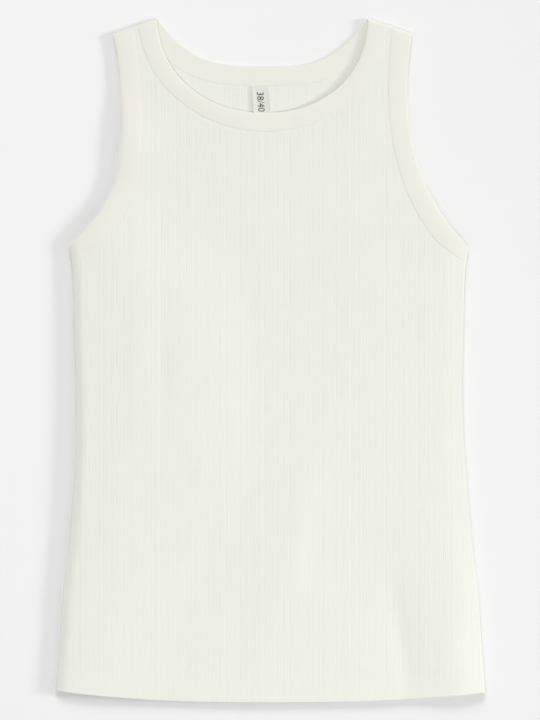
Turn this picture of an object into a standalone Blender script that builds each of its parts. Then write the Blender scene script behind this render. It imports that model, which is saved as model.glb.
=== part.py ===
"""Sleeveless rib-knit tank top, laid flat on its back.

The garment is a flattened tube of thin knit. The front lies on the back, and the two are joined by
soft rolled folds at the sides and the shoulders. Seen from above, +X is to the right, +Y runs
towards the neck and +Z is up. The origin is under the middle of the garment, on the surface that
it lies on. Heights called `up` are measured from the lowest point of the hem towards the neck.
"""

import math
from collections import namedtuple

import bmesh
import bpy

# ---- driving sizes, in metres ---------------------------------------------------------------

LENGTH = 0.620            # hem to the highest point of the neck
HEM_HALF = 0.194          # half of the width at the hem
HEM_RISE_LEFT = 0.0109    # the hem curves up to the sides by this much
HEM_RISE_RIGHT = 0.0091
HEM_CURVE = 2.5
HEM_DEPTH = 0.020         # the turned-up hem

NECK_HALF = 0.0952        # half of the neck opening at the shoulders
FRONT_DROP = 0.086        # front neck edge below the top of the shoulders
BACK_DROP = 0.044
BACK_CURVE = 3.3          # the back neck is flat in the middle and turns up at its ends
BACK_CROWD = 0.355        # evens its stations near the shoulders with the front's
BINDING = 0.0174          # width of the neck binding
NECK_SQUARE = 0.943       # 1 is an ellipse, less fills its corners
SHOULDER_SLOPE = 0.36     # the shoulder line's fall for each metre outwards from the neck

PANEL_WALL = 0.0012
BINDING_WALL = 0.0016     # folded knit, four plies pressed together
HEM_WALL = 0.0020
PROUD = 0.0004            # the bindings stand this much above the panels
SEAM_GAP = 0.0003

SIDE_FOLD = 0.0032        # radius of the rolled fold down each side
SIDE_UNDER = 0.0046       # the side seam lies this far in, on the underside
SHOULDER_FOLD = 0.0020
SHOULDER_ROLL = 0.006
SHOULDER_UNDER = 0.0042   # and the shoulder seam this far down the back

LABEL_WIDTH = 0.0145
LABEL_LENGTH = 0.044
LABEL_WALL = 0.0006
LABEL_X = -0.0028         # from the neck's centre line

# ---- the outline, one row a section, half-widths from the centre line ------------------------

Side = namedtuple("Side", "up half")
SIDE = [
    Side(0.0000, 0.1950),
    Side(0.0200, 0.1936),
    Side(0.0560, 0.1909),
    Side(0.0920, 0.1886),
    Side(0.1470, 0.1824),
    Side(0.2190, 0.1766),
    Side(0.2730, 0.1750),
    Side(0.3370, 0.1762),
    Side(0.3750, 0.1772),
    Side(0.3980, 0.1786),
    Side(0.4124, 0.1810),
]

# The armhole binding from the shoulder to the underarm: its free edge, and its seam.
Hole = namedtuple("Hole", "edge_x edge_up seam_x seam_up")
ARMHOLE = [
    Hole(0.1355, LENGTH - (0.1355 - NECK_HALF) * SHOULDER_SLOPE,
         0.1174, LENGTH - (0.1174 - NECK_HALF) * SHOULDER_SLOPE),
    Hole(0.1316, 0.5810, 0.1142, 0.5840),
    Hole(0.1296, 0.5460, 0.1122, 0.5460),
    Hole(0.1314, 0.5100, 0.1142, 0.5070),
    Hole(0.1382, 0.4760, 0.1212, 0.4695),
    Hole(0.1488, 0.4520, 0.1330, 0.4433),
    Hole(0.1638, 0.4305, 0.1504, 0.4193),
    Hole(0.1730, 0.4203, 0.1636, 0.4082),
    Hole(0.1810, 0.4124, 0.1786, 0.3980),
]

# The garment lies a little askew: its centre line wanders this far from straight.
Lean = namedtuple("Lean", "up shift")
LEAN = [
    Lean(0.000, 0.0000),
    Lean(0.200, 0.0000),
    Lean(0.300, -0.0013),
    Lean(0.410, -0.0013),
    Lean(0.460, 0.0003),
    Lean(0.500, -0.0025),
    Lean(0.550, -0.0052),
    Lean(0.620, -0.0070),
]

# How the front lies: its height in the middle, and the soft roll along each side. The cloth rounds
# up from the fold to `puff` over `width`, rises to `crest` over `roll` and sinks to the middle
# over `reach`.
Middle = namedtuple("Middle", "up height")
MIDDLE = [
    Middle(0.000, 0.0056),
    Middle(0.045, 0.0054),
    Middle(0.130, 0.0052),
    Middle(0.260, 0.0052),
    Middle(0.360, 0.0050),
    Middle(0.430, 0.0046),
    Middle(0.500, 0.0041),
    Middle(0.620, 0.0037),
]

Roll = namedtuple("Roll", "up puff width crest roll reach")
LEFT_ROLL = [
    Roll(0.000, 0.0073, 0.012, 0.0077, 0.020, 0.080),
    Roll(0.045, 0.0074, 0.012, 0.0078, 0.020, 0.100),
    Roll(0.130, 0.0079, 0.012, 0.0083, 0.020, 0.120),
    Roll(0.210, 0.0087, 0.011, 0.0092, 0.040, 0.150),
    Roll(0.290, 0.0078, 0.010, 0.0088, 0.050, 0.140),
    Roll(0.360, 0.0075, 0.010, 0.0084, 0.050, 0.130),
    Roll(0.430, 0.0064, 0.010, 0.0073, 0.032, 0.090),
    Roll(0.500, 0.0056, 0.008, 0.0060, 0.024, 0.070),
    Roll(0.620, 0.0050, 0.006, 0.0052, 0.020, 0.050),
]
RIGHT_ROLL = [
    Roll(0.000, 0.0062, 0.0010, 0.0089, 0.030, 0.050),
    Roll(0.045, 0.0061, 0.0010, 0.0086, 0.030, 0.054),
    Roll(0.130, 0.0056, 0.0008, 0.0072, 0.022, 0.080),
    Roll(0.260, 0.0053, 0.0008, 0.0063, 0.018, 0.120),
    Roll(0.340, 0.0053, 0.0010, 0.0063, 0.018, 0.120),
    Roll(0.385, 0.0053, 0.0020, 0.0063, 0.018, 0.120),
    Roll(0.430, 0.0053, 0.0020, 0.0062, 0.018, 0.100),
    Roll(0.500, 0.0050, 0.0020, 0.0055, 0.018, 0.060),
    Roll(0.620, 0.0050, 0.0020, 0.0050, 0.018, 0.050),
]

# Soft swellings of the front: where each one lies, how far it reaches along and across, how
# high it lifts the cloth, and how far its top drifts sideways for each metre up.
Swell = namedtuple("Swell", "x up along across lift drift")
SWELLS = [
    Swell(-0.125, 0.505, 0.038, 0.024, 0.0024, 0.0),
    Swell(-0.092, 0.560, 0.060, 0.030, 0.0003, 0.0),
    Swell(0.092, 0.560, 0.060, 0.030, 0.0003, 0.0),
    Swell(0.012, 0.120, 0.085, 0.026, 0.0011, 0.22),
    Swell(-0.060, 0.300, 0.090, 0.034, 0.0008, 0.0),
    Swell(0.070, 0.360, 0.100, 0.040, 0.0006, 0.0),
]

# ---- colours ---------------------------------------------------------------------------------

IVORY = (0.83, 0.84, 0.76, 1.0)
IVORY_PLAIN = (0.82, 0.82, 0.72, 1.0)
TAPE = (0.72, 0.72, 0.66, 1.0)


# ---- reading the tables ----------------------------------------------------------------------

def smooth_through(stations, values, at):
    """A smooth curve through the values at their stations, read at one place."""
    at = min(max(at, stations[0]), stations[-1])
    last = len(stations) - 1
    i = 0
    while i < last - 1 and stations[i + 1] <= at:
        i += 1
    span = stations[i + 1] - stations[i]
    step = (at - stations[i]) / span
    slopes = []
    for k in (i, i + 1):
        low, high = max(k - 1, 0), min(k + 1, last)
        slopes.append((values[high] - values[low]) / (stations[high] - stations[low]) * span)
    square, cube = step ** 2, step ** 3
    return ((2 * cube - 3 * square + 1) * values[i] + (cube - 2 * square + step) * slopes[0]
            + (3 * square - 2 * cube) * values[i + 1] + (cube - square) * slopes[1])


def column(table, name, up):
    """A table's named column at a height above the hem."""
    return smooth_through([row.up for row in table], [getattr(row, name) for row in table], up)


def ease(step):
    """Runs from 0 to 1 with a level start and end."""
    step = min(max(step, 0.0), 1.0)
    return step * step * (3 - 2 * step)


def quarter_round(step):
    """Height of a quarter circle, 0 to 1, at a distance in from its foot."""
    step = min(max(step, 0.0), 1.0)
    return math.sqrt(1 - (1 - step) ** 2)


def level_off(step):
    """Rises from 0 to 1 at an almost steady slope, and ends level."""
    return 1 - (1 - min(max(step, 0.0), 1.0)) ** 1.5


# ---- the outline -----------------------------------------------------------------------------

def hem_line(x):
    """Height of the hem's lower edge, which curves up towards the sides."""
    rise = HEM_RISE_LEFT if x < 0 else HEM_RISE_RIGHT
    return rise * abs(x / HEM_HALF) ** HEM_CURVE


def neck_front(turn, out):
    """The front neck, turn -1 to 1 between the shoulders, out 0 at its edge and 1 at its seam."""
    half, drop = NECK_HALF + out * BINDING, FRONT_DROP + out * BINDING
    power = NECK_SQUARE + out * (1 - NECK_SQUARE)
    sine = 1.0
    for _ in range(8):    # closes in on where the curve meets the shoulder line
        cosine = (SHOULDER_SLOPE * max(half * sine ** power - NECK_HALF, 0.0) / drop) ** (1 / power)
        sine = math.sqrt(1 - cosine ** 2)
    angle = turn * math.acos(cosine)
    x = half * abs(math.sin(angle)) ** power
    return math.copysign(x, turn), LENGTH - drop * max(math.cos(angle), 0.0) ** power


def neck_back(turn, out):
    """The back neck, which ends on the front's shoulder points."""
    end_x, end_up = neck_front(1, out)
    low = LENGTH - BACK_DROP - out * BINDING
    share = abs(turn) + BACK_CROWD * abs(turn) ** 3 * (1 - abs(turn))
    return math.copysign(end_x * share, turn), low + (end_up - low) * share ** BACK_CURVE


def armhole(side, run, out):
    """The armhole, run 0 at the shoulder to 1 at the underarm, out 0 at its edge and 1 at its seam."""
    stations = list(range(len(ARMHOLE)))
    at = run * stations[-1]
    edge_x, edge_up, seam_x, seam_up = (
        smooth_through(stations, [getattr(row, name) for row in ARMHOLE], at) for name in Hole._fields)
    return side * (edge_x + out * (seam_x - edge_x)), edge_up + out * (seam_up - edge_up)


# ---- how the cloth lies ----------------------------------------------------------------------

def from_side(x, up):
    """Distance in from the side fold, which ends at the underarm."""
    underarm = SIDE[-1]
    if up <= underarm.up:
        return column(SIDE, "half", up) - abs(x)
    return math.hypot(underarm.half - abs(x), up - underarm.up)


def from_shoulder(x, up):
    """Distance down from the shoulder line, which runs from the neck to the armhole."""
    drop = LENGTH - (abs(x) - NECK_HALF) * SHOULDER_SLOPE - up
    return drop / math.hypot(1, SHOULDER_SLOPE)


def front_height(x, up, proud):
    """Height of the front's outer face."""
    table = LEFT_ROLL if x < 0 else RIGHT_ROLL
    puff, width, crest, roll, reach = (column(table, name, up) for name in Roll._fields[1:])
    middle = column(MIDDLE, "height", up)
    inward = from_side(x, up)
    top = middle + (crest - middle) * (1 - ease((inward - roll) / reach)) + proud
    for swell in SWELLS:
        above = up - swell.up
        across = (x - swell.x - swell.drift * above) / swell.across
        top += swell.lift * math.exp(-across ** 2 - (above / swell.along) ** 2)
    top = (SIDE_FOLD + (puff - SIDE_FOLD) * quarter_round(inward / width)
           + (top - puff) * level_off(inward / roll))
    distance = from_shoulder(x, up)
    rolled = SHOULDER_FOLD * (1 + quarter_round(distance / SHOULDER_FOLD))
    return rolled + (top - 2 * SHOULDER_FOLD) * ease(distance / SHOULDER_ROLL)


def back_height(x, up):
    """Height of the back's outer face, which lies flat but for its folds."""
    side = SIDE_FOLD * (1 - quarter_round(from_side(x, up) / SIDE_FOLD))
    shoulder = SHOULDER_FOLD * (1 - quarter_round(from_shoulder(x, up) / SHOULDER_FOLD))
    return side + shoulder


def laid(point, on_front, proud=0.0):
    """A point of the flat outline, set down where the cloth lies."""
    x, up = point
    height = front_height(x, up, proud) if on_front else back_height(x, up)
    return (x + column(LEAN, "shift", up), up - LENGTH / 2, height)


# ---- making the pieces -----------------------------------------------------------------------

def new_piece(name, material, patches, wall, turned_over=False):
    """Grids set down by place(column, row) and merged, then thickened inwards from the outer face."""
    bm = bmesh.new()
    for columns, rows, place in patches:
        across, along = len(columns) - 1, len(rows) - 1
        grid = bmesh.ops.create_grid(bm, x_segments=across, y_segments=along, size=0.5)
        for vert in grid["verts"]:
            i = round((vert.co.x + 0.5) * across)
            j = round((vert.co.y + 0.5) * along)
            vert.co = place(columns[i], rows[j])
    bmesh.ops.remove_doubles(bm, verts=bm.verts, dist=MERGE)
    if turned_over:
        bmesh.ops.reverse_faces(bm, faces=bm.faces)
    mesh = bpy.data.meshes.new(name)
    bm.to_mesh(mesh)
    bm.free()
    mesh.shade_smooth()
    mesh.materials.append(material)
    piece = bpy.data.objects.new(name, mesh)
    garment.objects.link(piece)
    thicken = piece.modifiers.new("wall", "SOLIDIFY")
    thicken.thickness = wall
    thicken.offset = -1


def new_material(name, colour):
    """A matt, non-metal material of one colour."""
    material = bpy.data.materials.new(name)
    material.use_nodes = True
    shader = material.node_tree.nodes["Principled BSDF"]
    shader.inputs["Base Color"].default_value = colour
    shader.inputs["Roughness"].default_value = 0.9
    shader.inputs["Metallic"].default_value = 0.0
    return material


def fold_steps(radius):
    """Distances in from a fold, close together where its quarter circle is steep."""
    return [radius * (1 - math.cos(math.radians(angle))) for angle in FOLD_ANGLES]


for old in list(bpy.data.objects):
    bpy.data.objects.remove(old, do_unlink=True)

garment = bpy.data.collections.new("tank_top")
bpy.context.scene.collection.children.link(garment)
rib_knit = new_material("rib_knit", IVORY)
plain_knit = new_material("plain_knit", IVORY_PLAIN)
woven_tape = new_material("woven_tape", TAPE)

# Stations shared by the bindings and the panels that they are sewn to, so that both sides of a
# seam have the same corners. Each one is a distance from the fold, or a share of the curve.
FOLD_ANGLES = (25, 55, 90)
NECK_STEPS = 10
ARMHOLE_STEPS = 16
BODY_STEPS = 8
SEAM_OUT = 1 + SEAM_GAP / BINDING
MERGE = 0.00005


def neck_turn(distance):
    """The neck's turn at a distance down from the shoulder line."""
    return 1 - distance / FRONT_DROP / (math.pi / 2)


def shoulder_run(distance):
    """The armhole's run at a distance down from the shoulder line."""
    first, second = ARMHOLE[:2]
    step = math.hypot(second.seam_x - first.seam_x, second.seam_up - first.seam_up)
    return distance / step / (len(ARMHOLE) - 1)


def underarm_run(distance):
    """The armhole's run at a distance in from the side fold."""
    last, before = ARMHOLE[-1], ARMHOLE[-2]
    return 1 - distance / (last.seam_x - before.seam_x) / (len(ARMHOLE) - 1)


shoulder_inset, side_inset = SHOULDER_UNDER + SEAM_GAP, SIDE_UNDER + SEAM_GAP
shoulder_turns = [neck_turn(step) for step in fold_steps(SHOULDER_FOLD) + [shoulder_inset]]
open_turns = [shoulder_turns[-1] * (1 - k / NECK_STEPS) for k in range(1, NECK_STEPS)]
half_turns = [1.0] + shoulder_turns + open_turns
neck_turns = half_turns + [0.0] + [-turn for turn in half_turns[::-1]]

shoulder_runs = [shoulder_run(step) for step in fold_steps(SHOULDER_FOLD) + [shoulder_inset]]
underarm_runs = [underarm_run(step) for step in fold_steps(SIDE_FOLD) + [side_inset]]
open_runs = [shoulder_runs[-1] + (underarm_runs[-1] - shoulder_runs[-1]) * k / ARMHOLE_STEPS
             for k in range(1, ARMHOLE_STEPS)]
armhole_runs = [0.0] + shoulder_runs + open_runs + underarm_runs[::-1] + [1.0]

# How far in from the side fold each of a panel's columns stands.
INSETS = [side_inset, 0.0080, 0.0120, 0.0180, 0.0260, 0.0360,
          0.0480, 0.0620, 0.0800, 0.1010, 0.1250, 0.1500]


def make_neck_band():
    """One ring: the front arc, over the right shoulder, the back arc, over the left shoulder."""
    stations = [(neck_front, True, turn) for turn in neck_turns[::-1]]
    stations += [(neck_back, False, turn) for turn in neck_turns[1:]]

    def place(out, station):
        curve, on_front, turn = station
        return laid(curve(turn, out), on_front, PROUD)

    new_piece("neck_band", plain_knit, [((0.0, 0.5, 1.0), stations, place)], BINDING_WALL)


def make_armhole_band(name, side):
    """One ring: down the front from the shoulder, round the underarm fold and up the back."""
    stations = [(True, run) for run in armhole_runs] + [(False, run) for run in armhole_runs[-2::-1]]

    def place(out, station):
        on_front, run = station
        return laid(armhole(side, run, out), on_front, PROUD)

    new_piece(name, plain_knit, [((0.0, 0.5, 1.0), stations, place)], BINDING_WALL, side < 0)


def body_point(side, inset, rise):
    """A point of the body, rise 0 at the hem seam to 1 at the underarms, in from the side fold."""
    foot = hem_line(side * (HEM_HALF - inset)) + HEM_DEPTH + SEAM_GAP
    up = foot + (armhole(1, 1.0, SEAM_OUT)[1] - foot) * rise
    return (side * (column(SIDE, "half", up) - inset), up)


def make_panel(name, on_front, neck):
    """A panel, from the hem seam up to the underarms, then on between the armholes to the neck.

    It starts inside the folds; the front also has the four rolls that turn over them.
    """
    folded = len(shoulder_turns) + 1
    runs, turns = armhole_runs[folded - 1:1 - folded], half_turns[folded - 1:]

    def top_edge(side):
        tip, corner = armhole(side, runs[0], SEAM_OUT), neck(side * turns[0], SEAM_OUT)
        middle = ((tip[0] + corner[0]) / 2, (tip[1] + corner[1]) / 2)
        return [tip, middle] + [neck(side * turn, SEAM_OUT) for turn in turns]

    columns = [(-1, inset, top) for inset, top in zip(INSETS, top_edge(-1))]
    columns += [(0, 0.0, neck(0.0, SEAM_OUT))]
    columns += [(1, inset, top) for inset, top in zip(INSETS, top_edge(1))][::-1]

    def place_body(across, rise):
        side, inset, top = across
        return laid(body_point(side, inset, rise), on_front)

    right_edge = [body_point(1, INSETS[0], 1)] + [armhole(1, run, SEAM_OUT) for run in runs[::-1]]
    lengths = [0.0]
    for start, end in zip(right_edge, right_edge[1:]):
        lengths.append(lengths[-1] + math.dist(start, end))
    yoke_rows = [(length / lengths[-1], point) for length, point in zip(lengths, right_edge)]
    (half, chest), tip = right_edge[0], right_edge[-1]

    def place_yoke(across, row):
        """Coons' blend of the yoke's four edges: the chest, the neck and the two armholes."""
        side, inset, top = across
        t, (edge_x, edge_up) = row
        foot = body_point(side, inset, 1)
        u = foot[0] / half
        x = (1 - t) * foot[0] + t * top[0] + u * (edge_x - (1 - t) * half - t * tip[0])
        up = (1 - t) * foot[1] + t * top[1] + edge_up - (1 - t) * chest - t * tip[1]
        return laid((x, up), on_front)

    patches = [(columns, [k / BODY_STEPS for k in range(BODY_STEPS + 1)], place_body),
               (columns, yoke_rows, place_yoke)]
    if on_front:
        patches += [side_roll(-1), side_roll(1), shoulder_roll(-1), shoulder_roll(1)]
    new_piece(name, rib_knit, patches, PANEL_WALL, not on_front)


def round_fold(radius, under, over):
    """Stations from under a fold, round it and on to the top: which face, and how far in."""
    steps = fold_steps(radius)
    below = [(False, step) for step in [under] + steps[::-1]]
    return below + [(True, step) for step in [0.0] + steps + [over]]


def side_roll(side):
    """The front's edge, rolled round the side fold to the seam just under it."""
    def place(station, step):
        on_front, inset = station
        if step > BODY_STEPS and inset > 0:
            return laid(armhole(side, underarm_run(inset), SEAM_OUT), on_front)
        x, up = body_point(side, 0.0, min(step / BODY_STEPS, 1))
        return laid((x - side * inset, up), on_front)

    stations = round_fold(SIDE_FOLD, SIDE_UNDER, side_inset)
    return stations[::-side], list(range(BODY_STEPS + 2)), place


def shoulder_roll(side):
    """The front's short shoulder edge, turned over the fold to the seam behind it."""
    def place(share, station):
        on_front, inset = station
        neck = neck_front if on_front else neck_back
        tip = armhole(side, shoulder_run(inset), SEAM_OUT)
        corner = neck(side * neck_turn(inset), SEAM_OUT)
        return laid([a + (b - a) * share for a, b in zip(tip, corner)], on_front)

    return (0.0, 0.5, 1.0)[::-side], round_fold(SHOULDER_FOLD, SHOULDER_UNDER, shoulder_inset)[::-1], place


def make_hem(name, on_front):
    """The turned-up edge of a panel, HEM_DEPTH deep."""
    half = [(on_front, inset) for inset in INSETS]
    if on_front:
        half = round_fold(SIDE_FOLD, SIDE_UNDER, side_inset) + half[1:]
    columns = [(-1, *station) for station in half] + [(0, on_front, 0.0)]
    columns += [(1, *station) for station in half[::-1]]

    def place(across, height):
        side, face, inset = across
        up = hem_line(side * (HEM_HALF - inset)) + height
        return laid((side * (column(SIDE, "half", up) - inset), up), face)

    new_piece(name, rib_knit, [(columns, (0.0, HEM_DEPTH), place)], HEM_WALL, not on_front)


def make_label():
    """A woven tape sewn into the back neck seam, lying on the inside of the back."""
    top_up = LENGTH - BACK_DROP - BINDING - 2 * SEAM_GAP
    rows = [top_up - LABEL_LENGTH * k / 4 for k in range(5)]
    shift = column(LEAN, "shift", top_up) + LABEL_X

    def place(x, up):
        return (shift + x, up - LENGTH / 2, PANEL_WALL + SEAM_GAP + LABEL_WALL)

    halves = (-LABEL_WIDTH / 2, 0.0, LABEL_WIDTH / 2)
    new_piece("neck_label", woven_tape, [(halves, rows[::-1], place)], LABEL_WALL)


make_panel("front_panel", True, neck_front)
make_panel("back_panel", False, neck_back)
make_neck_band()
make_armhole_band("armhole_band_left", -1)
make_armhole_band("armhole_band_right", 1)
make_hem("front_hem", True)
make_hem("back_hem", False)
make_label()
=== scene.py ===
"""The looks of a sleeveless rib-knit tank top, laid flat on its back.

Its pieces follow in the order in which they are put together: the front and its hem, the back and
its hem, the neck binding, the two armhole bindings and the size label. All sizes are in metres, and
`up` is the height above the lowest point of the hem.
"""

import math
from collections import namedtuple

import bmesh
import bpy
import numpy as np
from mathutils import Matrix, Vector


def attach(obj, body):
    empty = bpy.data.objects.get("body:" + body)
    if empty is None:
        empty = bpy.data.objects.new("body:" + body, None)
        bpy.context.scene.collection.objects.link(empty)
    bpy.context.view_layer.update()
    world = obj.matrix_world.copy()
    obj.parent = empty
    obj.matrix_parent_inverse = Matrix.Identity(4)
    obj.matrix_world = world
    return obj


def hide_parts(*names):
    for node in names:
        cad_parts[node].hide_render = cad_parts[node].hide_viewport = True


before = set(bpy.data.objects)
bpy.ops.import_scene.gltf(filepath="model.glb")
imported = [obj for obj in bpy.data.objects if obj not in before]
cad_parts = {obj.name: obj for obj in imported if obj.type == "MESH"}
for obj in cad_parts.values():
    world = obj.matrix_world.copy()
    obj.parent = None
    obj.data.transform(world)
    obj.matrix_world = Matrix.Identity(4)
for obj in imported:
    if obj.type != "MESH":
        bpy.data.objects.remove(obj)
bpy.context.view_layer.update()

# ---- Floor, light and camera ------------------------------------------------------------------
# A plain pale floor under an even, soft light and four lamps: low on the right, above the neck, and
# high and low on the left. A softbox at the lower right brightens the cloth on that side. The
# floor's grey falls off that way. This is a painted shade, darker where the softbox lights it most,
# so that the floor looks even. The camera looks straight down.

FLOOR_HALF = 6.0
FLOOR_GREY = 0.808
# Painted shade: the floor's grey is made darker to the right and lower down, where the softbox
# lights it more.
FLOOR_PAINTED_SHADE = (-0.105, 0.065)    # change of the floor's grey for each metre right and up
FLOOR_CHANGE = 0.06        # the most that it changes, either way
FILL_STRENGTH = 0.27

# The lamps: their height and bearing and how far their light spreads, all in degrees.
Lamp = namedtuple("Lamp", "name elevation azimuth spread strength")
LAMPS = [
    Lamp("low_right", 16, 4, 9, 1.90),
    Lamp("above_neck", 33, 93, 26, 1.45),
    Lamp("high_left", 68, 215, 36, 0.78),
    Lamp("low_left", 38, 188, 50, 0.42),
]
LAMP_DISTANCE = 3.0
SOFTBOX_PLACE, SOFTBOX_SIZE, SOFTBOX_POWER = (0.90, -0.55, 1.00), 0.80, 3.4
CAMERA_HEIGHT = 3.2
SENSOR_WIDTH = 36.0        # in millimetres
FRAME_LENGTH = 0.6526      # the length of floor that the view takes in

floor_mesh = bpy.data.meshes.new("floor")
floor = bpy.data.objects.new("floor", floor_mesh)
bpy.context.scene.collection.objects.link(floor)
bm = bmesh.new()
bmesh.ops.create_grid(bm, x_segments=1, y_segments=1, size=FLOOR_HALF)
bm.to_mesh(floor_mesh)
bm.free()
floor_finish = bpy.data.materials.new("floor_finish")
floor_finish.use_nodes = True
floor_shader = floor_finish.node_tree.nodes["Principled BSDF"]
floor_shader.inputs["Roughness"].default_value = 1.0
floor_shader.inputs["Specular IOR Level"].default_value = 0.0
floor_place = floor_finish.node_tree.nodes.new("ShaderNodeTexCoord")
floor_run = floor_finish.node_tree.nodes.new("ShaderNodeVectorMath")
floor_run.operation = "DOT_PRODUCT"
floor_run.inputs[1].default_value = (*FLOOR_PAINTED_SHADE, 0)
# Painted shade: the floor's base colour, graded darker towards the lower right against the
# softbox's light.
floor_painted_grey = floor_finish.node_tree.nodes.new("ShaderNodeMapRange")
floor_painted_grey.inputs["From Min"].default_value = -FLOOR_CHANGE
floor_painted_grey.inputs["From Max"].default_value = FLOOR_CHANGE
floor_painted_grey.inputs["To Min"].default_value = FLOOR_GREY * (1 - FLOOR_CHANGE)
floor_painted_grey.inputs["To Max"].default_value = FLOOR_GREY * (1 + FLOOR_CHANGE)
floor_finish.node_tree.links.new(floor_place.outputs["Object"], floor_run.inputs[0])
floor_finish.node_tree.links.new(floor_run.outputs["Value"], floor_painted_grey.inputs["Value"])
floor_finish.node_tree.links.new(floor_painted_grey.outputs["Result"], floor_shader.inputs["Base Color"])
floor_mesh.materials.append(floor_finish)

for row in LAMPS:
    lamp = bpy.data.lights.new(row.name, "SUN")
    lamp.energy = row.strength
    lamp.angle = math.radians(row.spread)
    lamp_stand = bpy.data.objects.new(row.name, lamp)
    bpy.context.scene.collection.objects.link(lamp_stand)
    rise, turn = math.radians(row.elevation), math.radians(row.azimuth)
    towards = Vector((math.cos(rise) * math.cos(turn), math.cos(rise) * math.sin(turn),
                      math.sin(rise)))
    lamp_stand.rotation_euler = towards.to_track_quat("Z", "Y").to_euler()
    lamp_stand.location = towards * LAMP_DISTANCE

softbox = bpy.data.lights.new("softbox", "AREA")
softbox.size = SOFTBOX_SIZE
softbox.energy = SOFTBOX_POWER
softbox_stand = bpy.data.objects.new("softbox", softbox)
softbox_stand.location = SOFTBOX_PLACE
softbox_stand.rotation_euler = Vector(SOFTBOX_PLACE).to_track_quat("Z", "Y").to_euler()
bpy.context.scene.collection.objects.link(softbox_stand)

studio = bpy.data.worlds.new("studio")
studio.use_nodes = True
studio.node_tree.nodes["Background"].inputs["Color"].default_value = (1, 1, 1, 1)
studio.node_tree.nodes["Background"].inputs["Strength"].default_value = FILL_STRENGTH
bpy.context.scene.world = studio
bpy.context.scene.view_settings.view_transform = "Standard"

camera = bpy.data.cameras.new("overhead")
camera.sensor_width = SENSOR_WIDTH
camera.lens = camera.sensor_width * CAMERA_HEIGHT / FRAME_LENGTH
camera_stand = bpy.data.objects.new("overhead", camera)
camera_stand.location = (0, 0, CAMERA_HEIGHT)
bpy.context.scene.collection.objects.link(camera_stand)
bpy.context.scene.camera = camera_stand

# ---- Front panel ------------------------------------------------------------------------------
# Fine ivory rib knit, cut with its ribs running up and down. Three narrow wales make one rib, and
# the groove after each third wale is the deepest. It rolls over both side folds to seams
# underneath, and its neck and armhole edges are caught inside the bindings.

LENGTH = 0.620
HEM_HALF = 0.194
HEM_RISE_LEFT, HEM_RISE_RIGHT = 0.0109, 0.0091    # its corners stand this much above its middle
HEM_CURVE = 2.5            # how late the hem's edge turns up towards them
HEM_DEPTH = 0.020
NECK_HALF = 0.0952
FRONT_DROP, BACK_DROP = 0.086, 0.044              # depth of the neck, below the shoulders
BACK_CURVE = 3.3           # how late the back neck turns up towards the shoulders
BINDING = 0.0174           # width of the neck's and the armholes' bindings
NECK_SQUARE = 0.943        # below 1, the front neck is a little squarer than an ellipse
SHOULDER_SLOPE = 0.36
PANEL_WALL = 0.0012
SIDE_FOLD, SIDE_UNDER = 0.0032, 0.0046            # the side folds' radius, the cloth under them
SHOULDER_FOLD, SHOULDER_ROLL = 0.0020, 0.006      # the shoulder folds' radius and reach

# The outline, a row for each section: half of the width, from the centre line to the side fold.
Side = namedtuple("Side", "up half")
SIDE = [
    Side(0.0000, 0.1950),
    Side(0.0200, 0.1936),
    Side(0.0560, 0.1909),
    Side(0.0920, 0.1886),
    Side(0.1470, 0.1824),
    Side(0.2190, 0.1766),
    Side(0.2730, 0.1750),
    Side(0.3370, 0.1762),
    Side(0.3750, 0.1772),
    Side(0.3980, 0.1786),
    Side(0.4124, 0.1810),
]

# The armhole from the shoulder to the underarm: the binding's free edge, and its seam.
Hole = namedtuple("Hole", "edge_x edge_up seam_x seam_up")
ARMHOLE = [
    Hole(0.1355, 0.6055, 0.1174, 0.6120),
    Hole(0.1316, 0.5810, 0.1142, 0.5840),
    Hole(0.1296, 0.5460, 0.1122, 0.5460),
    Hole(0.1314, 0.5100, 0.1142, 0.5070),
    Hole(0.1382, 0.4760, 0.1212, 0.4695),
    Hole(0.1488, 0.4520, 0.1330, 0.4433),
    Hole(0.1638, 0.4305, 0.1504, 0.4193),
    Hole(0.1730, 0.4203, 0.1636, 0.4082),
    Hole(0.1810, 0.4124, 0.1786, 0.3980),
]

# The garment lies a little askew: its centre line wanders this far from straight.
Lean = namedtuple("Lean", "up shift")
LEAN = [
    Lean(0.000, 0.0000),
    Lean(0.200, 0.0000),
    Lean(0.300, -0.0013),
    Lean(0.410, -0.0013),
    Lean(0.460, 0.0003),
    Lean(0.500, -0.0025),
    Lean(0.550, -0.0052),
    Lean(0.620, -0.0070),
]

# How the front lies: its height in the middle, and the soft roll along each side. The cloth rounds
# up from the fold to `puff` over `width`, rises to `crest` over `roll` and sinks to the middle
# over `reach`.
Middle = namedtuple("Middle", "up height")
MIDDLE = [
    Middle(0.000, 0.0056),
    Middle(0.045, 0.0054),
    Middle(0.130, 0.0052),
    Middle(0.260, 0.0052),
    Middle(0.360, 0.0050),
    Middle(0.430, 0.0046),
    Middle(0.500, 0.0041),
    Middle(0.620, 0.0037),
]

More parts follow.
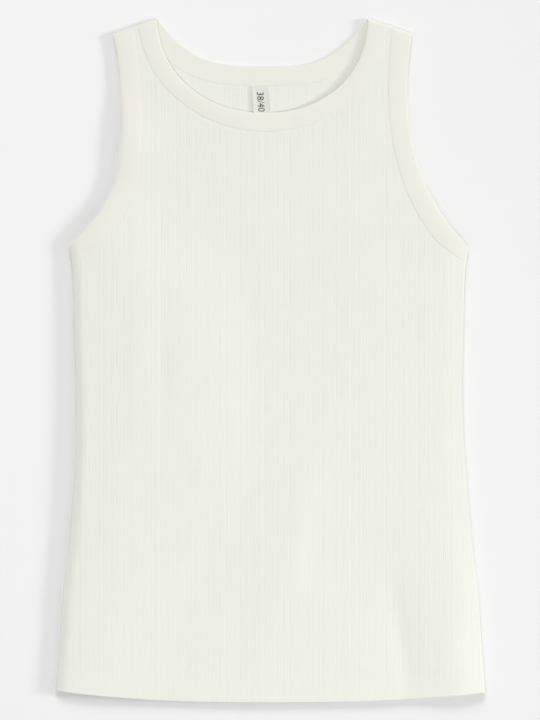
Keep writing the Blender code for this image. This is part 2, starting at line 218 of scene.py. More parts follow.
Roll = namedtuple("Roll", "up puff width crest roll reach")
LEFT_ROLL = [
    Roll(0.000, 0.0073, 0.012, 0.0077, 0.020, 0.080),
    Roll(0.045, 0.0074, 0.012, 0.0078, 0.020, 0.100),
    Roll(0.130, 0.0079, 0.012, 0.0083, 0.020, 0.120),
    Roll(0.210, 0.0087, 0.011, 0.0092, 0.040, 0.150),
    Roll(0.290, 0.0078, 0.010, 0.0088, 0.050, 0.140),
    Roll(0.360, 0.0075, 0.010, 0.0084, 0.050, 0.130),
    Roll(0.430, 0.0064, 0.010, 0.0073, 0.032, 0.090),
    Roll(0.500, 0.0056, 0.008, 0.0060, 0.024, 0.070),
    Roll(0.620, 0.0050, 0.006, 0.0052, 0.020, 0.050),
]
RIGHT_ROLL = [
    Roll(0.000, 0.0062, 0.0010, 0.0089, 0.023, 0.052),
    Roll(0.045, 0.0061, 0.0010, 0.0087, 0.023, 0.054),
    Roll(0.130, 0.0056, 0.0008, 0.0073, 0.020, 0.078),
    Roll(0.260, 0.0053, 0.0008, 0.0063, 0.018, 0.120),
    Roll(0.340, 0.0053, 0.0010, 0.0063, 0.018, 0.120),
    Roll(0.385, 0.0053, 0.0020, 0.0063, 0.018, 0.120),
    Roll(0.430, 0.0053, 0.0020, 0.0062, 0.018, 0.100),
    Roll(0.500, 0.0050, 0.0020, 0.0055, 0.018, 0.060),
    Roll(0.620, 0.0050, 0.0020, 0.0050, 0.018, 0.050),
]

HALVES_MEET = 0.080        # the two tables run into each other over this width
RIGHT_START = 0.0006       # the right fold is so tight that its edge stands up straight

# Soft ridges (lift above 0) and troughs (below 0) of the front: the middle of each one, how far
# it reaches along and across, and how far it drifts sideways for each metre up. The swells are
# broad and the creases narrow.
Swell = namedtuple("Swell", "x up along across lift drift")
SWELLS = [
    Swell(-0.125, 0.505, 0.038, 0.024, 0.0024, 0.0),
    Swell(-0.092, 0.560, 0.060, 0.030, 0.0003, 0.0),
    Swell(0.092, 0.560, 0.060, 0.030, 0.0003, 0.0),
    Swell(0.012, 0.120, 0.085, 0.026, 0.0011, 0.22),
    Swell(-0.060, 0.300, 0.090, 0.034, 0.0008, 0.0),
    Swell(0.070, 0.360, 0.100, 0.040, 0.0006, 0.0),
]
CREASES = [
    Swell(-0.096, 0.300, 0.060, 0.008, -0.0005, 0.00),
    Swell(-0.118, 0.330, 0.075, 0.011, 0.0004, 0.03),
    Swell(0.026, 0.150, 0.050, 0.010, 0.0005, 0.10),
    Swell(0.118, 0.060, 0.055, 0.009, -0.0007, -0.12),
]


def smooth_through(stations, values, at):
    """A smooth curve through the values at their stations, read at every `at`."""
    stations, values = np.array(stations, float), np.array(values, float)
    at = np.clip(at, stations[0], stations[-1])
    low = np.clip(np.searchsorted(stations, at, side="right") - 1, 0, len(stations) - 2)
    slopes = np.empty_like(values)
    slopes[1:-1] = (values[2:] - values[:-2]) / (stations[2:] - stations[:-2])
    slopes[0] = (values[1] - values[0]) / (stations[1] - stations[0])
    slopes[-1] = (values[-1] - values[-2]) / (stations[-1] - stations[-2])
    span = stations[low + 1] - stations[low]
    step = (at - stations[low]) / span
    square, cube = step ** 2, step ** 3
    return ((2 * cube - 3 * square + 1) * values[low]
            + (cube - 2 * square + step) * slopes[low] * span
            + (3 * square - 2 * cube) * values[low + 1]
            + (cube - square) * slopes[low + 1] * span)


def column(table, name, up):
    """A table's named column at a height above the hem."""
    return smooth_through([row.up for row in table], [getattr(row, name) for row in table], up)


def ease(step):
    """Runs from 0 to 1 with a level start and end."""
    step = np.clip(step, 0.0, 1.0)
    return step * step * (3 - 2 * step)


def quarter_round(step):
    """Height of a quarter circle, 0 to 1, at a distance in from its foot."""
    return np.sqrt(1 - (1 - np.clip(step, 0.0, 1.0)) ** 2)


def level_off(step):
    """Rises from 0 to 1 at an almost steady slope, and ends level."""
    return 1 - (1 - np.clip(step, 0.0, 1.0)) ** 1.5


def hem_line(x):
    """Height of the hem's lower edge, which curves up towards the sides."""
    return np.where(x < 0, HEM_RISE_LEFT, HEM_RISE_RIGHT) * np.abs(x / HEM_HALF) ** HEM_CURVE


def neck_front(turn, out):
    """The front neck, turn -1 to 1 between the shoulders, out 0 at its edge and 1 at its seam."""
    half, drop = NECK_HALF + out * BINDING, FRONT_DROP + out * BINDING
    power = NECK_SQUARE + out * (1 - NECK_SQUARE)
    sine = 1.0
    for _ in range(8):    # closes in on where the curve meets the shoulder line
        fall = np.maximum(half * sine ** power - NECK_HALF, 0.0)
        cosine = (SHOULDER_SLOPE * fall / drop) ** (1 / power)
        sine = np.sqrt(1 - cosine ** 2)
    angle = turn * np.arccos(cosine)
    x = half * np.abs(np.sin(angle)) ** power
    return np.copysign(x, turn), LENGTH - drop * np.maximum(np.cos(angle), 0.0) ** power


def neck_back(turn, out):
    """The back neck, which ends on the front's shoulder points."""
    end_x, end_up = neck_front(1.0, out)
    low = LENGTH - BACK_DROP - out * BINDING
    return end_x * turn, low + (end_up - low) * np.abs(turn) ** BACK_CURVE


def armhole(side, run, out):
    """The armhole, run 0 to 1 from shoulder to underarm, out 0 at its edge and 1 at its seam."""
    at = run * (len(ARMHOLE) - 1)
    edge_x, edge_up, seam_x, seam_up = (
        smooth_through(range(len(ARMHOLE)), [getattr(row, name) for row in ARMHOLE], at)
        for name in Hole._fields)
    return side * (edge_x + out * (seam_x - edge_x)), edge_up + out * (seam_up - edge_up)


def from_side(x, up):
    """Distance in from the side fold, which ends at the underarm."""
    underarm = SIDE[-1]
    return np.where(up <= underarm.up, column(SIDE, "half", up) - np.abs(x),
                    np.hypot(underarm.half - np.abs(x), up - underarm.up))


def from_shoulder(x, up):
    """Distance down from the shoulder line, which runs from the neck to the armhole."""
    drop = LENGTH - (np.abs(x) - NECK_HALF) * SHOULDER_SLOPE - up
    return drop / math.hypot(1, SHOULDER_SLOPE)


def swelling(x, up, swell):
    """The height that one ridge or trough adds."""
    above = up - swell.up
    across = (x - swell.x - swell.drift * above) / swell.across
    return swell.lift * np.exp(-across ** 2 - (above / swell.along) ** 2)


def front_height(x, up, proud=0.0):
    """Height of the front's outer face."""
    inward, leftness = from_side(x, up), ease(0.5 - x / HALVES_MEET)
    puff, width, crest, roll, reach = (
        column(RIGHT_ROLL, name, up) * (1 - leftness) + column(LEFT_ROLL, name, up) * leftness
        for name in Roll._fields[1:])
    middle = column(MIDDLE, "height", up)
    top = middle + (crest - middle) * (1 - ease((inward - roll) / reach)) + proud
    for swell in SWELLS + CREASES:
        top = top + swelling(x, up, swell)
    beyond_fold = inward + RIGHT_START * (1 - leftness)
    top = (SIDE_FOLD + (puff - SIDE_FOLD) * quarter_round(beyond_fold / width)
           + (top - puff) * level_off(inward / roll))
    distance = from_shoulder(x, up)
    rolled = SHOULDER_FOLD * (1 + quarter_round(distance / SHOULDER_FOLD))
    return rolled + (top - 2 * SHOULDER_FOLD) * ease(distance / SHOULDER_ROLL)


def back_height(x, up):
    """Height of the back's outer face, which lies flat but for its folds."""
    side = SIDE_FOLD * (1 - quarter_round(from_side(x, up) / SIDE_FOLD))
    shoulder = SHOULDER_FOLD * (1 - quarter_round(from_shoulder(x, up) / SHOULDER_FOLD))
    return side + shoulder


def lean(up):
    """How far the centre line is from straight at a height."""
    return column(LEAN, "shift", up)


# The wales: their width, and how uneven they are. Each one has a groove on its left and two
# shoulders, and the groove after each third is deeper.
WALE = 0.00193
WALES_EACH_SIDE = 105
GROOVE, THIRD_GROOVE = 0.00009, 0.00003
GROOVE_LEAST, GROOVE_MOST = 0.50, 1.50            # a groove's depth varies between these shares
SHOULDER_UNEVEN = 0.00005  # how far a wale's two shoulders stand up or lie low
WALE_STRAY = 0.00010       # how far a wale strays to either side
SHOULDERS_AT = (0.30, 0.70)                       # where they are, in widths from the groove
UNEVEN = np.random.default_rng(11)
TUCK = 0.50                # how far across the binding the panel's edge reaches inside it

wale = np.arange(-WALES_EACH_SIDE, WALES_EACH_SIDE)
groove_depth = ((GROOVE + THIRD_GROOVE * (wale % 3 == 0))
                * UNEVEN.uniform(GROOVE_LEAST, GROOVE_MOST, wale.size))
shoulder_lift = UNEVEN.uniform(-SHOULDER_UNEVEN, SHOULDER_UNEVEN, (wale.size, 2))
wale_x = wale * WALE + UNEVEN.uniform(-WALE_STRAY, WALE_STRAY, wale.size)
wale_columns = np.stack([wale_x] + [wale_x + at * WALE for at in SHOULDERS_AT], axis=1).ravel()
wale_relief = np.stack([-groove_depth, shoulder_lift[:, 0], shoulder_lift[:, 1]], axis=1).ravel()
wale_phase = np.repeat(UNEVEN.uniform(0, 2 * math.pi, wale.size), 3)


HOLE_POINTS, NECK_POINTS = 161, 241    # along one armhole and along the neck
JUST_INSIDE = 1e-6         # keeps a point off the very end of the outline
UPRIGHT = 1e-9             # a stretch of the outline that is narrower than this runs straight up


def outline_top(neck, x):
    """The height at which the panel ends above x: inside a binding, or at the shoulder line."""
    left_hole, right_hole = (
        np.stack(armhole(side, np.linspace(0, 1, HOLE_POINTS), TUCK), axis=1) for side in (-1, 1))
    neck_hole = np.stack(neck(np.linspace(-1, 1, NECK_POINTS), TUCK), axis=1)
    chain = np.concatenate([left_hole[::-1], neck_hole, right_hole])
    chain[:, 0] += lean(chain[:, 1])
    start, end = chain[:-1], chain[1:]
    places, which = np.unique(x, return_inverse=True)
    places = np.clip(places, chain[0, 0] + JUST_INSIDE, chain[-1, 0] - JUST_INSIDE)[:, None]
    crossed = (start[:, 0] - places) * (end[:, 0] - places) <= 0
    run = end[:, 0] - start[:, 0]
    run = np.where(np.abs(run) < UPRIGHT, 1.0, run)
    ups = start[:, 1] + (places - start[:, 0]) / run * (end[:, 1] - start[:, 1])
    lowest = np.where(crossed, ups, LENGTH).min(axis=1)
    return lowest[which.reshape(-1)].reshape(x.shape)


def within_outline(x, height, neck, inset):
    """Moves grid points outside the garment's outline on to it. Returns x and up of each."""
    underarm = SIDE[-1].up
    placed, up = x, hem_line(x) + height
    for _ in range(4):    # closes in, as the width and the top depend on each other
        low = np.minimum(up, underarm)
        half, shift = column(SIDE, "half", low) - inset, lean(low)
        placed = np.clip(x, shift - half, shift + half)
        up = hem_line(placed) + height
        if neck is not None:
            up = np.minimum(up, outline_top(neck, placed))
    return placed, up


SAME_POINT, NO_EDGE = 0.00002, 0.00001    # points this close become one, edges this short go
EDGE_ROUNDING, ROUNDING_STEPS = 0.00045, 3        # of the folded edges
CRISP_ANGLE = 50           # a wall's edge is crisp past this many degrees


def knit_piece(name, finish, columns, heights, place, wall, turned_over=False, soft_edge=None):
    """A grid set down by place(column, row), thickened inwards from its outer face.

    `soft_edge` says how much a boundary edge is rounded, from its two ends' columns and rows.
    """
    across, along = len(columns) - 1, len(heights) - 1
    bm = bmesh.new()
    bmesh.ops.create_grid(bm, x_segments=across, y_segments=along, size=0.5)
    i = np.array([round((vert.co.x + 0.5) * across) for vert in bm.verts])
    j = np.array([round((vert.co.y + 0.5) * along) for vert in bm.verts])
    for vert, point in zip(bm.verts, np.stack(place(i, j), axis=1)):
        vert.co = point
    if soft_edge is not None:
        weights = bm.edges.layers.float.new("bevel_weight_edge")
        rows = dict(zip(bm.verts, zip(i, j)))
        for edge in bm.edges:
            if edge.is_boundary:
                edge[weights] = soft_edge(rows[edge.verts[0]], rows[edge.verts[1]])
    bmesh.ops.remove_doubles(bm, verts=bm.verts, dist=SAME_POINT)
    bmesh.ops.dissolve_degenerate(bm, edges=bm.edges, dist=NO_EDGE)
    if turned_over:
        bmesh.ops.reverse_faces(bm, faces=bm.faces)
    mesh = bpy.data.meshes.new(name)
    bm.to_mesh(mesh)
    bm.free()
    mesh.shade_smooth()
    mesh.materials.append(finish)
    piece = bpy.data.objects.new(name, mesh)
    bpy.context.scene.collection.objects.link(piece)
    thicken = piece.modifiers.new("wall", "SOLIDIFY")
    thicken.thickness = wall
    thicken.offset = -1
    if soft_edge is not None:
        rounding = piece.modifiers.new("rounding", "BEVEL")
        rounding.limit_method = "WEIGHT"
        rounding.width = EDGE_ROUNDING
        rounding.segments = ROUNDING_STEPS
    graph = bpy.context.evaluated_depsgraph_get()
    whole = bpy.data.meshes.new_from_object(piece.evaluated_get(graph))
    piece.modifiers.clear()
    piece.data = whole
    whole.name = name
    whole.set_sharp_from_angle(angle=math.radians(CRISP_ANGLE))
    return piece


def node(tree, kind, values=None, **settings):
    """A shader node with its settings and socket values."""
    made = tree.nodes.new(kind)
    for key, value in settings.items():
        setattr(made, key, value)
    for key, value in (values or {}).items():
        made.inputs[key].default_value = value
    return made


def worked_out(tree, operation, first, second):
    """A Math node on two inputs, each one a socket or a number."""
    made = node(tree, "ShaderNodeMath", operation=operation)
    for socket, given in zip(made.inputs, (first, second)):
        if isinstance(given, (int, float)):
            socket.default_value = given
        else:
            tree.links.new(given, socket)
    return made.outputs[0]


V_SLANT = 1.3              # how steeply a stitch's two arms rise
V_RELIEF = 0.35            # how much the stitches stand out beside the fuzz
FUZZ_SCALE, FUZZ_DETAIL, FUZZ_ROUGH = 900.0, 3.0, 0.6
CLOUD_SCALE, CLOUD_DETAIL, CLOUD_ROUGH = 22.0, 3.0, 0.55    # of the slow change of tone


def stitch_group():
    """Knit stitches: rows of small Vs, and the fine fuzz of the yarn over them. The Shade is partly
    painted shade, darker where the fuzz lies low, and partly a slow cloud of tone that wavers at
    random.
    """
    group = bpy.data.node_groups.new("knit_stitches", "ShaderNodeTree")
    for name in ("Wale Width", "Course Height"):
        group.interface.new_socket(name, in_out="INPUT", socket_type="NodeSocketFloat")
    for name in ("Relief", "Shade"):
        group.interface.new_socket(name, in_out="OUTPUT", socket_type="NodeSocketFloat")
    given, result = node(group, "NodeGroupInput"), node(group, "NodeGroupOutput")
    place = node(group, "ShaderNodeTexCoord")
    split = node(group, "ShaderNodeSeparateXYZ")
    group.links.new(place.outputs["Object"], split.inputs[0])
    across = worked_out(group, "DIVIDE", split.outputs["X"], given.outputs["Wale Width"])
    along = worked_out(group, "DIVIDE", split.outputs["Y"], given.outputs["Course Height"])
    part = worked_out(group, "FRACT", across, 0)
    middle = worked_out(group, "ABSOLUTE", worked_out(group, "SUBTRACT", part, 0.5), 0)
    slanted = worked_out(group, "ADD", along, worked_out(group, "MULTIPLY", middle, V_SLANT))
    wave = worked_out(group, "SINE", worked_out(group, "MULTIPLY", slanted, 2 * math.pi), 0)
    fuzz = node(group, "ShaderNodeTexNoise",
                {"Scale": FUZZ_SCALE, "Detail": FUZZ_DETAIL, "Roughness": FUZZ_ROUGH})
    group.links.new(place.outputs["Object"], fuzz.inputs["Vector"])
    cloudy = node(group, "ShaderNodeTexNoise",
                  {"Scale": CLOUD_SCALE, "Detail": CLOUD_DETAIL, "Roughness": CLOUD_ROUGH})
    group.links.new(place.outputs["Object"], cloudy.inputs["Vector"])
    stitches = worked_out(group, "MULTIPLY", wave, V_RELIEF)
    relief = worked_out(group, "ADD", stitches, fuzz.outputs["Fac"])
    group.links.new(relief, result.inputs["Relief"])
    # Painted shade: the tone follows the fuzz's relief and is darker in its low spots. The slow
    # cloud adds tone that wavers at random.
    shade = worked_out(group, "ADD", worked_out(group, "MULTIPLY", fuzz.outputs["Fac"], 0.5),
                       worked_out(group, "MULTIPLY", cloudy.outputs["Fac"], 0.5))
    group.links.new(shade, result.inputs["Shade"])
    return group


def knit_finish(name, dark, light, wale_width, course_height, relief):
    """Matt cotton knit, whose colour wavers between two close tones: at random, and darker where
    the fuzz lies low, which is painted shade.
    """
    finish = bpy.data.materials.new(name)
    finish.use_nodes = True
    tree = finish.node_tree
    shader = tree.nodes["Principled BSDF"]
    shader.inputs["Roughness"].default_value = 0.95
    shader.inputs["Specular IOR Level"].default_value = 0.15
    shader.inputs["Sheen Weight"].default_value = 0.08
    shader.inputs["Sheen Roughness"].default_value = 0.6
    stitches = node(tree, "ShaderNodeGroup", node_tree=knit_stitches)
    stitches.inputs["Wale Width"].default_value = wale_width
    stitches.inputs["Course Height"].default_value = course_height
    tones = node(tree, "ShaderNodeMix", data_type="RGBA")
    tones.inputs["A"].default_value = (*dark, 1)
    tones.inputs["B"].default_value = (*light, 1)
    tree.links.new(stitches.outputs["Shade"], tones.inputs["Factor"])
    tree.links.new(tones.outputs["Result"], shader.inputs["Base Color"])
    bump = node(tree, "ShaderNodeBump", {"Strength": 1.0, "Distance": relief})
    tree.links.new(stitches.outputs["Relief"], bump.inputs["Height"])
    tree.links.new(bump.outputs["Normal"], shader.inputs["Normal"])
    return finish


knit_stitches = stitch_group()
rib_knit = knit_finish("rib_knit", dark=(0.746, 0.755, 0.688), light=(0.788, 0.797, 0.727),
                       wale_width=WALE, course_height=0.0011, relief=0.00006)

# The columns of the front: under the left fold, across the front along its wales, and under the
# right fold. Those under a fold are this far in from it.
UNDER = np.append(SIDE_FOLD * (1 - np.cos(np.radians([20, 40, 65, 90]))), SIDE_UNDER)
FAR = 1.0                  # beyond the outline, so that the point lands on the fold
front_columns = np.concatenate([np.full(UNDER.size, -FAR), wale_columns, np.full(UNDER.size, FAR)])
front_under = np.concatenate([UNDER[::-1], np.zeros(wale_columns.size), UNDER])
front_relief = np.concatenate([np.zeros(UNDER.size), wale_relief, np.zeros(UNDER.size)])
front_phase = np.concatenate([np.zeros(UNDER.size), wale_phase, np.zeros(UNDER.size)])


# How the wales' relief comes and goes along their length: by what share, how fast it turns (in
# radians for each metre), and how its start differs from wale to wale.
Waver = namedtuple("Waver", "share speed start")
WAVERS = [Waver(0.45, 105, 1.0), Waver(0.40, 240, 2.3)]
WALE_FADE = 0.0015         # the wales flatten out over this width beside a fold


def wale_height(relief, phase, up, inward):
    """How far the wales stand out at a point, uneven along their length and flat at the folds."""
    wander = 1 + sum(row.share * np.sin(up * row.speed + row.start * phase) for row in WAVERS)
    return relief * wander * ease(inward / WALE_FADE)


def near_seam(x, up, seams, reach):
    """Runs from 1 on a binding's seam to 0 well away from it."""
    nearest = np.full(x.shape, 1.0)
    for seam in seams:
        for seam_x, seam_up in zip(*seam):
            nearest = np.minimum(nearest, np.hypot(x - seam_x, up - seam_up))
    return np.exp(-(nearest / reach) ** 2)


SEAM_POINTS = 260
SEAM_RUNS = np.linspace(0, 1, SEAM_POINTS)
front_seams = [neck_front(2 * SEAM_RUNS - 1, 1.0), armhole(-1, SEAM_RUNS, 1.0),
               armhole(1, SEAM_RUNS, 1.0)]
DITCH, DITCH_REACH = 0.00006, 0.0012              # the front is drawn down at its seams
TUCKED_DROP = 0.0015       # the edge that is tucked inside a binding lies this much lower
TUCKED_FROM = 0.0001       # a point that was moved down this far is on that edge
SHOULDER_ENDS = 0.022      # but the edge isn't lowered this near the shoulder line
HEM_WALES = 0.55           # the share of the wales' relief that is left in the hem's two plies


def place_front(i, j, heights, neck):
    """Sets down points of the front's wales at columns i and heights j. The hem has no neck."""
    world_x, up = within_outline(front_columns[i], heights[j], neck, 0.0)
    x, under = world_x - lean(up), front_under[i]
    relief = front_relief[i] if neck is not None else HEM_WALES * front_relief[i]
    top = front_height(x, up) + wale_height(relief, front_phase[i], up, from_side(x, up))
    if neck is not None:
        top = top - DITCH * near_seam(x, up, front_seams, DITCH_REACH)
        moved_down = hem_line(world_x) + heights[j] - up
        tucked = (moved_down > TUCKED_FROM) & (up < LENGTH - SHOULDER_ENDS)
        top = np.where(tucked, top - TUCKED_DROP, top)
    below = under > 0
    x = np.where(below, x - np.copysign(under, x), x)
    return x + lean(up), up - LENGTH / 2, np.where(below, back_height(x, up), top)


CLOSER_FROM = 0.598        # the rows lie closer together from here up, where the shoulders fold
OPEN_ROWS, CLOSE_ROWS = 78, 21
panel_heights = np.concatenate([np.linspace(HEM_DEPTH, CLOSER_FROM, OPEN_ROWS),
                                np.linspace(CLOSER_FROM, LENGTH, CLOSE_ROWS)[1:]])
front_panel = knit_piece(
    "front_panel_knit", rib_knit, front_columns, panel_heights,
    lambda i, j: place_front(i, j, panel_heights, neck_front), PANEL_WALL)
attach(front_panel, "root")
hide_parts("front_panel")

# ---- Front hem --------------------------------------------------------------------------------
# The lower edge of the front, turned up inside and stitched, so that it is two plies thick. The
# wales run on through it, and its bottom edge is a soft round fold.

HEM_WALL = 0.0020
hem_heights = np.array([
    0.0, 0.0006, 0.0014, 0.0030, 0.0060, 0.0095, 0.0130, 0.0165, 0.0190, HEM_DEPTH])


def bottom_only(first, second):
    """Marks the edges along the hem's fold."""
    return 1.0 if first[1] == 0 and second[1] == 0 else 0.0


front_hem = knit_piece(
    "front_hem_knit", rib_knit, front_columns, hem_heights,
    lambda i, j: place_front(i, j, hem_heights, None), HEM_WALL, soft_edge=bottom_only)
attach(front_hem, "root")
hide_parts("front_hem")

# ---- Back panel -------------------------------------------------------------------------------
# The same knit, cut shallower at the neck. It lies flat on the floor, its side edges stop at the
# seams under the folds, and its inside shows in the neck opening.

BACK_INSET = SIDE_UNDER + 0.0003                  # a little gap where it meets the front's edges
BACK_CLEAR = 0.00005       # keeps the wales off the floor
NECK_RISE, NECK_RISE_REACH = 0.0002, 0.0070       # the back rises to its neck binding's seam
BACK_ROWS = 61
back_seam = [neck_back(2 * SEAM_RUNS - 1, 1.0)]


def place_back(i, j, heights, neck):
    """Sets down points of the back's wales, which stand in from its outer face."""
    world_x, up = within_outline(wale_columns[i], heights[j], neck, BACK_INSET)
    x = world_x - lean(up)
    relief = wale_height(-wale_relief[i], wale_phase[i], up, from_side(x, up) - BACK_INSET)
    height = back_height(x, up) + relief + BACK_CLEAR
    if neck is not None:
        height = height + NECK_RISE * near_seam(x, up, back_seam, NECK_RISE_REACH)
    return world_x, up - LENGTH / 2, height


back_heights = np.linspace(HEM_DEPTH, LENGTH, BACK_ROWS)
back_panel = knit_piece(
    "back_panel_knit", rib_knit, wale_columns, back_heights,
    lambda i, j: place_back(i, j, back_heights, neck_back), PANEL_WALL, turned_over=True)
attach(back_panel, "root")
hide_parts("back_panel")

# ---- Back hem ---------------------------------------------------------------------------------
# The back's lower edge, turned up and stitched like the front's.

back_hem = knit_piece(
    "back_hem_knit", rib_knit, wale_columns, hem_heights,
    lambda i, j: place_back(i, j, hem_heights, None), HEM_WALL,
    turned_over=True, soft_edge=bottom_only)
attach(back_hem, "root")
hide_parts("back_hem")

# ---- Neck binding -----------------------------------------------------------------------------
# One strip of smooth knit, folded over the neck's raw edge and sewn down through all its plies. It
# makes a ring: the front arc, over the right shoulder, the back arc, over the left shoulder.

BINDING_WALL = 0.0016
SEAM_ROUNDING = 0.15       # its seam edge is rounded by this share of its free edge's rounding

# Across a binding, 0 at its free edge and 1 at its seam, and how far it stands out there.
Across = namedtuple("Across", "out lift")
BAND_SECTION = [
    Across(0.000, 0.00000),
    Across(0.060, 0.00018),
    Across(0.180, 0.00034),
    Across(0.360, 0.00042),
    Across(0.560, 0.00040),
    Across(0.740, 0.00034),
    Across(0.880, 0.00026),
    Across(0.960, 0.00018),
    Across(1.000, 0.00010),
]
section_out = np.array([row.out for row in BAND_SECTION])
section_lift = np.array([row.lift for row in BAND_SECTION])
plain_knit = knit_finish("plain_knit", dark=(0.754, 0.746, 0.674), light=(0.798, 0.790, 0.712),
                         wale_width=0.0012, course_height=0.0012, relief=0.00004)


def both_edges(first, second):
    """Marks a binding's free edge, and its seam edge less."""
    if first[0] == second[0] == 0:
        return 1.0
    return SEAM_ROUNDING if first[0] == second[0] == len(BAND_SECTION) - 1 else 0.0


def fold_steps(radius, angles):
    """Distances in from a fold, close together where its quarter circle is steep."""
    return radius * (1 - np.cos(np.radians(angles)))


def place_band(curve, on_front, out, lift, run):
    """Points of a binding: its curve, set down on the front or the back, and lifted."""
    x, up = curve(run, out)
    height = np.where(on_front, front_height(x, up, lift), back_height(x, up))
    return x + lean(up), up - LENGTH / 2, height


# Where the ring has points: close together at the shoulders, and evenly apart over each half arc.
FOLD_ANGLES = np.array([15, 30, 45, 60, 75, 90])
HALF_ARC_POINTS = 60
fold_turns = 1 - fold_steps(SHOULDER_FOLD, FOLD_ANGLES) / FRONT_DROP / (math.pi / 2)
open_turns = np.linspace(fold_turns[-1], 0, HALF_ARC_POINTS)[1:]
half_turns = np.concatenate([[1.0], fold_turns, open_turns])
all_turns = np.concatenate([half_turns, -half_turns[-2::-1]])
neck_turns = np.concatenate([all_turns[::-1], all_turns[1:]])
neck_on_front = np.arange(neck_turns.size) < all_turns.size


def place_neck(i, j):
    """Sets down points of the neck binding at i across it and j along its ring."""
    turn, out, lift = neck_turns[j], section_out[i], section_lift[i]
    front = place_band(neck_front, True, out, lift, turn)
    back = place_band(neck_back, False, out, lift, turn)
    return [np.where(neck_on_front[j], a, b) for a, b in zip(front, back)]


neck_band = knit_piece("neck_binding", plain_knit, section_out, neck_turns, place_neck,
                       BINDING_WALL, soft_edge=both_edges)
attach(neck_band, "root")
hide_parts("neck_band")

# ---- Armhole bindings -------------------------------------------------------------------------
# One ring each of the same folded strip, turned over at the shoulder and at the underarm.

# A little more than the curve's length between its first two rows and its last two. They set how
# close the ring's points lie at the two folds.
TOP_STRETCH, UNDER_STRETCH = 0.0282, 0.0150
HOLE_ARC_POINTS = 90


def make_armhole_binding(name, cad_node, side):
    """Builds one armhole's ring, on the left (side -1) or on the right (side 1)."""
    stretches = len(ARMHOLE) - 1
    top_steps = fold_steps(SHOULDER_FOLD, FOLD_ANGLES) / TOP_STRETCH / stretches
    under_steps = 1 - fold_steps(SIDE_FOLD, FOLD_ANGLES) / UNDER_STRETCH / stretches
    open_steps = np.linspace(top_steps[-1], under_steps[-1], HOLE_ARC_POINTS)[1:-1]
    runs = np.concatenate([[0.0], top_steps, open_steps, under_steps[::-1], [1.0]])
    ring = np.concatenate([runs, runs[-2::-1]])
    on_front = np.arange(ring.size) < runs.size

    def curve(run, out):
        return armhole(side, run, out)

    def place(i, j):
        run, out, lift = ring[j], section_out[i], section_lift[i]
        front = place_band(curve, True, out, lift, run)
        back = place_band(curve, False, out, lift, run)
        return [np.where(on_front[j], a, b) for a, b in zip(front, back)]

    band = knit_piece(name, plain_knit, section_out, ring, place, BINDING_WALL,
                      turned_over=side < 0, soft_edge=both_edges)
    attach(band, "root")
    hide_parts(cad_node)


make_armhole_binding("armhole_binding_left", "armhole_band_left", -1)
make_armhole_binding("armhole_binding_right", "armhole_band_right", 1)

# ---- Size label -------------------------------------------------------------------------------
# A narrow woven tape, sewn into the back neck seam, with only the size printed on it. It lies on
# the inside of the back, a little aslant, and its two long edges curl up.

LABEL_WIDTH, LABEL_LENGTH, LABEL_WALL = 0.0145, 0.044, 0.0006
LABEL_X = -0.0095          # its middle at the seam
LABEL_DOWN = 0.0006        # it starts this much below the binding
LABEL_CLEAR = 0.0004       # and lies this far off the back's inside
LABEL_SLANT = 0.085        # how far it moves to the right for each metre down
LABEL_LIFT, LABEL_FLAT = 0.0004, 0.006            # its edges' curl, and where that begins
LABEL_COLUMNS, LABEL_ROWS = 13, 23
NUMBER = "38/40"           # the size, printed down its middle
NUMBER_HEIGHT, NUMBER_LENGTH, NUMBER_START = 0.0062, 0.0176, 0.0054
TYPE_DEPTH, TYPE_STEPS = 0.05, 3                  # of the digits, before they are set down
INK_WALL, INK_SUNK = 0.00012, 0.2                 # the ink's depth, and the share in the tape

tape = bpy.data.materials.new("woven_tape")
tape.use_nodes = True
tape_shader = tape.node_tree.nodes["Principled BSDF"]
tape_shader.inputs["Base Color"].default_value = (0.705, 0.715, 0.645, 1)
tape_shader.inputs["Roughness"].default_value = 0.75
tape_shader.inputs["Specular IOR Level"].default_value = 0.3

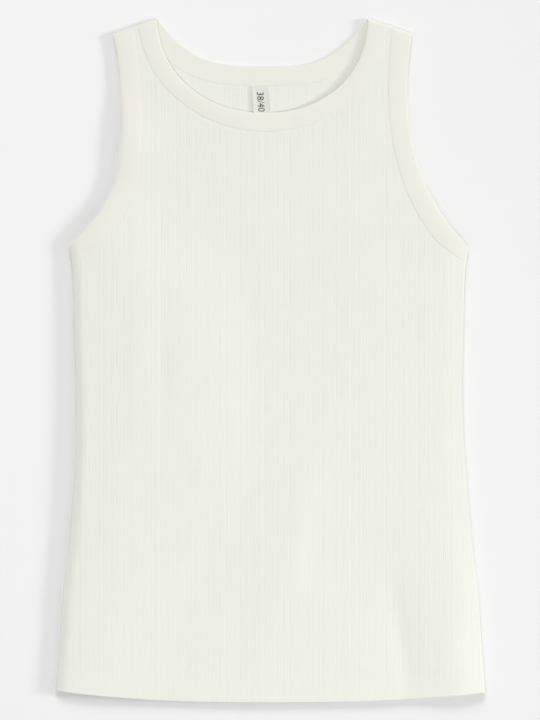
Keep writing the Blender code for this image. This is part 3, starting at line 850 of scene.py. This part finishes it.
ink = bpy.data.materials.new("ink")
ink.use_nodes = True
ink_shader = ink.node_tree.nodes["Principled BSDF"]
ink_shader.inputs["Base Color"].default_value = (0.035, 0.034, 0.032, 1)
ink_shader.inputs["Roughness"].default_value = 0.6

label_across = np.linspace(-LABEL_WIDTH / 2, LABEL_WIDTH / 2, LABEL_COLUMNS)
label_down = np.linspace(LABEL_LENGTH, 0, LABEL_ROWS)


def on_label(across, down):
    """A point of the label's upper face, across from its middle line and down from the seam."""
    up = LENGTH - BACK_DROP - BINDING - LABEL_DOWN - down
    curl = LABEL_LIFT * (across / LABEL_WIDTH * 2) ** 2 * (1 - np.exp(-down / LABEL_FLAT))
    x = LABEL_X + LABEL_SLANT * down + across
    return x, up - LENGTH / 2, PANEL_WALL + LABEL_CLEAR + LABEL_WALL + curl


label = knit_piece("size_label", tape, label_across, label_down,
                   lambda i, j: on_label(label_across[i], label_down[j]), LABEL_WALL)
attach(label, "root")
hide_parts("neck_label")

type_curve = bpy.data.curves.new("type", "FONT")
type_curve.body = NUMBER
type_curve.extrude = TYPE_DEPTH
type_curve.resolution_u = TYPE_STEPS
type_stand = bpy.data.objects.new("type", type_curve)
bpy.context.scene.collection.objects.link(type_stand)
bpy.context.view_layer.update()
type_graph = bpy.context.evaluated_depsgraph_get()
digits = bpy.data.meshes.new_from_object(type_stand.evaluated_get(type_graph))
bpy.data.objects.remove(type_stand, do_unlink=True)
corners = np.array([tuple(vert.co) for vert in digits.vertices])
along, tall, deep = ((corners - corners.min(axis=0)) / np.ptp(corners, axis=0)).T
across, down = (tall - 0.5) * NUMBER_HEIGHT, NUMBER_START + along * NUMBER_LENGTH
ink_x, ink_y, tape_top = on_label(across, down)
for vert, x, y, z in zip(digits.vertices, ink_x, ink_y, tape_top + (deep - INK_SUNK) * INK_WALL):
    vert.co = (x, y, z)
digits.materials.clear()
digits.materials.append(ink)
size_number = bpy.data.objects.new("size_number", digits)
bpy.context.scene.collection.objects.link(size_number)
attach(size_number, "root")

bpy.context.view_layer.update()
